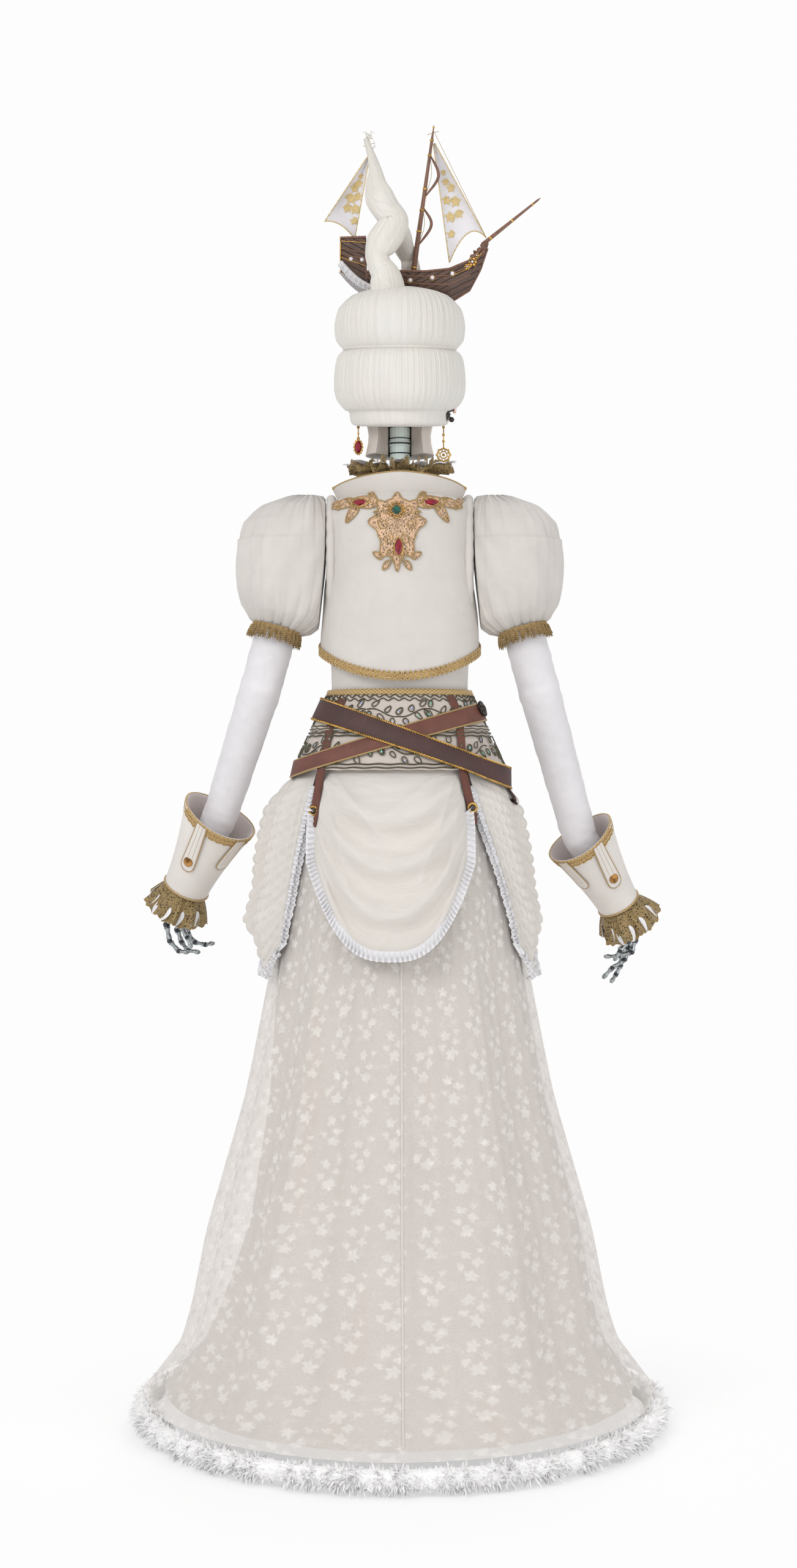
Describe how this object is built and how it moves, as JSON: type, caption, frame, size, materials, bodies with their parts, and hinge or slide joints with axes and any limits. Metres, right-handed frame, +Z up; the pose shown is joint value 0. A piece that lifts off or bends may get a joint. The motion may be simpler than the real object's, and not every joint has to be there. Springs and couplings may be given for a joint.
{
  "type": "dressed figure",
  "caption": "Life-size dressed pirate doll on a hidden stand, with a skirt with a train, puffed sleeves, metal hands and a model ship carried on its hair.",
  "frame": {"origin": "centre of the base plate's underside, on the floor", "axes": "+Z up, the doll faces +Y, its right hand is towards +X"},
  "size_m": [0.8324, 0.8414, 2.0002],
  "materials": {
    "base_metal": "satin black",
    "post_metal": "brushed",
    "form": "matte",
    "skirt_lining": "soft satin",
    "lace": "sheer embroidered lace",
    "fur": "long white pile",
    "chiffon": "draped chiffon",
    "sash_cloth": "corded and sequinned",
    "red_leather": "oiled",
    "dark_leather": "oiled",
    "strap_leather": "oiled",
    "old_brass": "worn",
    "rosette_metal": "blackened",
    "cream_cloth": "stretch satin",
    "gold_braid": "metallic braid",
    "gold_lace": "metallic lace",
    "applique_gold": "corded applique",
    "arm_satin": "wrinkled stretch satin",
    "neck_mint": "semi gloss",
    "neck_plate": "semi gloss",
    "skin": "soft satin",
    "hair": "combed",
    "ruby_glass": "cut glass",
    "ring_gold": "polished",
    "hull_wood": "oiled",
    "mast_wood": "stained",
    "sail_cloth": "silk",
    "hand_metal": "worn"
  },
  "bodies": {
    "stand": {"base_plate": "base_metal", "stand_post": "post_metal", "torso_form": "form", "underskirt": "skirt_lining", "lace_skirt": "lace", "fur_hem": "fur", "back_swag": "chiffon", "side_drape_left": "chiffon", "side_drape_right": "chiffon", "waist_sash": "sash_cloth", "red_belt": "red_leather", "dark_belt": "dark_leather", "belt_rosette": "rosette_metal", "strap_left": "strap_leather", "strap_right": "strap_leather", "strap_stud_left": "old_brass", "strap_stud_right": "old_brass", "blouse": "cream_cloth", "jacket_body": "cream_cloth", "jacket_braid": "gold_braid", "jacket_collar": "cream_cloth", "back_applique": "applique_gold", "neck_ruff": "gold_lace", "neck_column": "neck_mint"},
    "head": {"neck_shell": "neck_plate", "head": "skin", "hair_lower_roll": "hair", "hair_upper_roll": "hair", "hair_plume": "hair", "ship_hull": "hull_wood", "main_mast": "mast_wood", "mizzen_mast": "mast_wood", "bowsprit": "mast_wood", "fore_sail": "sail_cloth", "mizzen_sail": "sail_cloth"},
    "earring_left": {"earring_left": "ruby_glass"},
    "earring_right": {"earring_right": "ring_gold"},
    "arm_left": {"arm_left": "arm_satin", "puff_sleeve_left": "cream_cloth", "sleeve_fringe_left": "gold_braid", "gauntlet_left": "cream_cloth", "wrist_ruffle_left": "gold_lace"},
    "hand_left": {"palm_left": "hand_metal"},
    "thumb_left": {"thumb_left": "hand_metal"},
    "index_finger_left": {"index_finger_left": "hand_metal"},
    "middle_finger_left": {"middle_finger_left": "hand_metal"},
    "ring_finger_left": {"ring_finger_left": "hand_metal"},
    "arm_right": {"arm_right": "arm_satin", "puff_sleeve_right": "cream_cloth", "sleeve_fringe_right": "gold_braid", "gauntlet_right": "cream_cloth", "wrist_ruffle_right": "gold_lace"},
    "hand_right": {"palm_right": "hand_metal"},
    "thumb_right": {"thumb_right": "hand_metal"},
    "index_finger_right": {"index_finger_right": "hand_metal"},
    "middle_finger_right": {"middle_finger_right": "hand_metal"},
    "ring_finger_right": {"ring_finger_right": "hand_metal"}
  },
  "joints": [
    {"name": "head_turn", "type": "hinge", "parent": "stand", "child": "head", "pos_m": [0, 0, 1.49], "axis": [0, 0, 1], "range_deg": [-60, 60]},
    {"name": "earring_left_swing", "type": "hinge", "parent": "head", "child": "earring_left", "pos_m": [-0.0645, 0.005, 1.532], "axis": [1, 0, 0], "range_deg": [-30, 30]},
    {"name": "earring_right_swing", "type": "hinge", "parent": "head", "child": "earring_right", "pos_m": [0.068, 0.005, 1.532], "axis": [1, 0, 0], "range_deg": [-30, 30]},
    {"name": "shoulder_left", "type": "hinge", "parent": "stand", "child": "arm_left", "pos_m": [-0.1, 0, 1.37], "axis": [1, 0, 0], "range_deg": [-25, 50]},
    {"name": "wrist_turn_left", "type": "hinge", "parent": "arm_left", "child": "hand_left", "pos_m": [-0.3407, 0.105, 0.8123], "axis": [-0.4152, 0.3825, -0.8254], "range_deg": [-40, 40]},
    {"name": "thumb_left_curl", "type": "hinge", "parent": "hand_left", "child": "thumb_left", "pos_m": [-0.3497, 0.105, 0.7533], "axis": [0, -1, 0], "range_deg": [-12, 8]},
    {"name": "index_finger_left_curl", "type": "hinge", "parent": "hand_left", "child": "index_finger_left", "pos_m": [-0.3727, 0.12, 0.7533], "axis": [0, -1, 0], "range_deg": [-20, 10]},
    {"name": "middle_finger_left_curl", "type": "hinge", "parent": "hand_left", "child": "middle_finger_left", "pos_m": [-0.3567, 0.138, 0.7443], "axis": [0, -1, 0], "range_deg": [-20, 10]},
    {"name": "ring_finger_left_curl", "type": "hinge", "parent": "hand_left", "child": "ring_finger_left", "pos_m": [-0.3427, 0.156, 0.7383], "axis": [0, -1, 0], "range_deg": [-20, 8]},
    {"name": "shoulder_right", "type": "hinge", "parent": "stand", "child": "arm_right", "pos_m": [0.1, 0, 1.37], "axis": [1, 0, 0], "range_deg": [-25, 50]},
    {"name": "wrist_turn_right", "type": "hinge", "parent": "arm_right", "child": "hand_right", "pos_m": [0.3487, 0.102, 0.7878], "axis": [0.4855, 0.364, -0.7949], "range_deg": [-40, 40]},
    {"name": "thumb_right_curl", "type": "hinge", "parent": "hand_right", "child": "thumb_right", "pos_m": [0.3627, 0.102, 0.7278], "axis": [0, 1, 0], "range_deg": [-12, 8]},
    {"name": "index_finger_right_curl", "type": "hinge", "parent": "hand_right", "child": "index_finger_right", "pos_m": [0.3757, 0.118, 0.7288], "axis": [0, 1, 0], "range_deg": [-20, 10]},
    {"name": "middle_finger_right_curl", "type": "hinge", "parent": "hand_right", "child": "middle_finger_right", "pos_m": [0.3677, 0.136, 0.7168], "axis": [0, 1, 0], "range_deg": [-20, 10]},
    {"name": "ring_finger_right_curl", "type": "hinge", "parent": "hand_right", "child": "ring_finger_right", "pos_m": [0.3577, 0.154, 0.7058], "axis": [0, 1, 0], "range_deg": [-20, 8]}
  ]
}
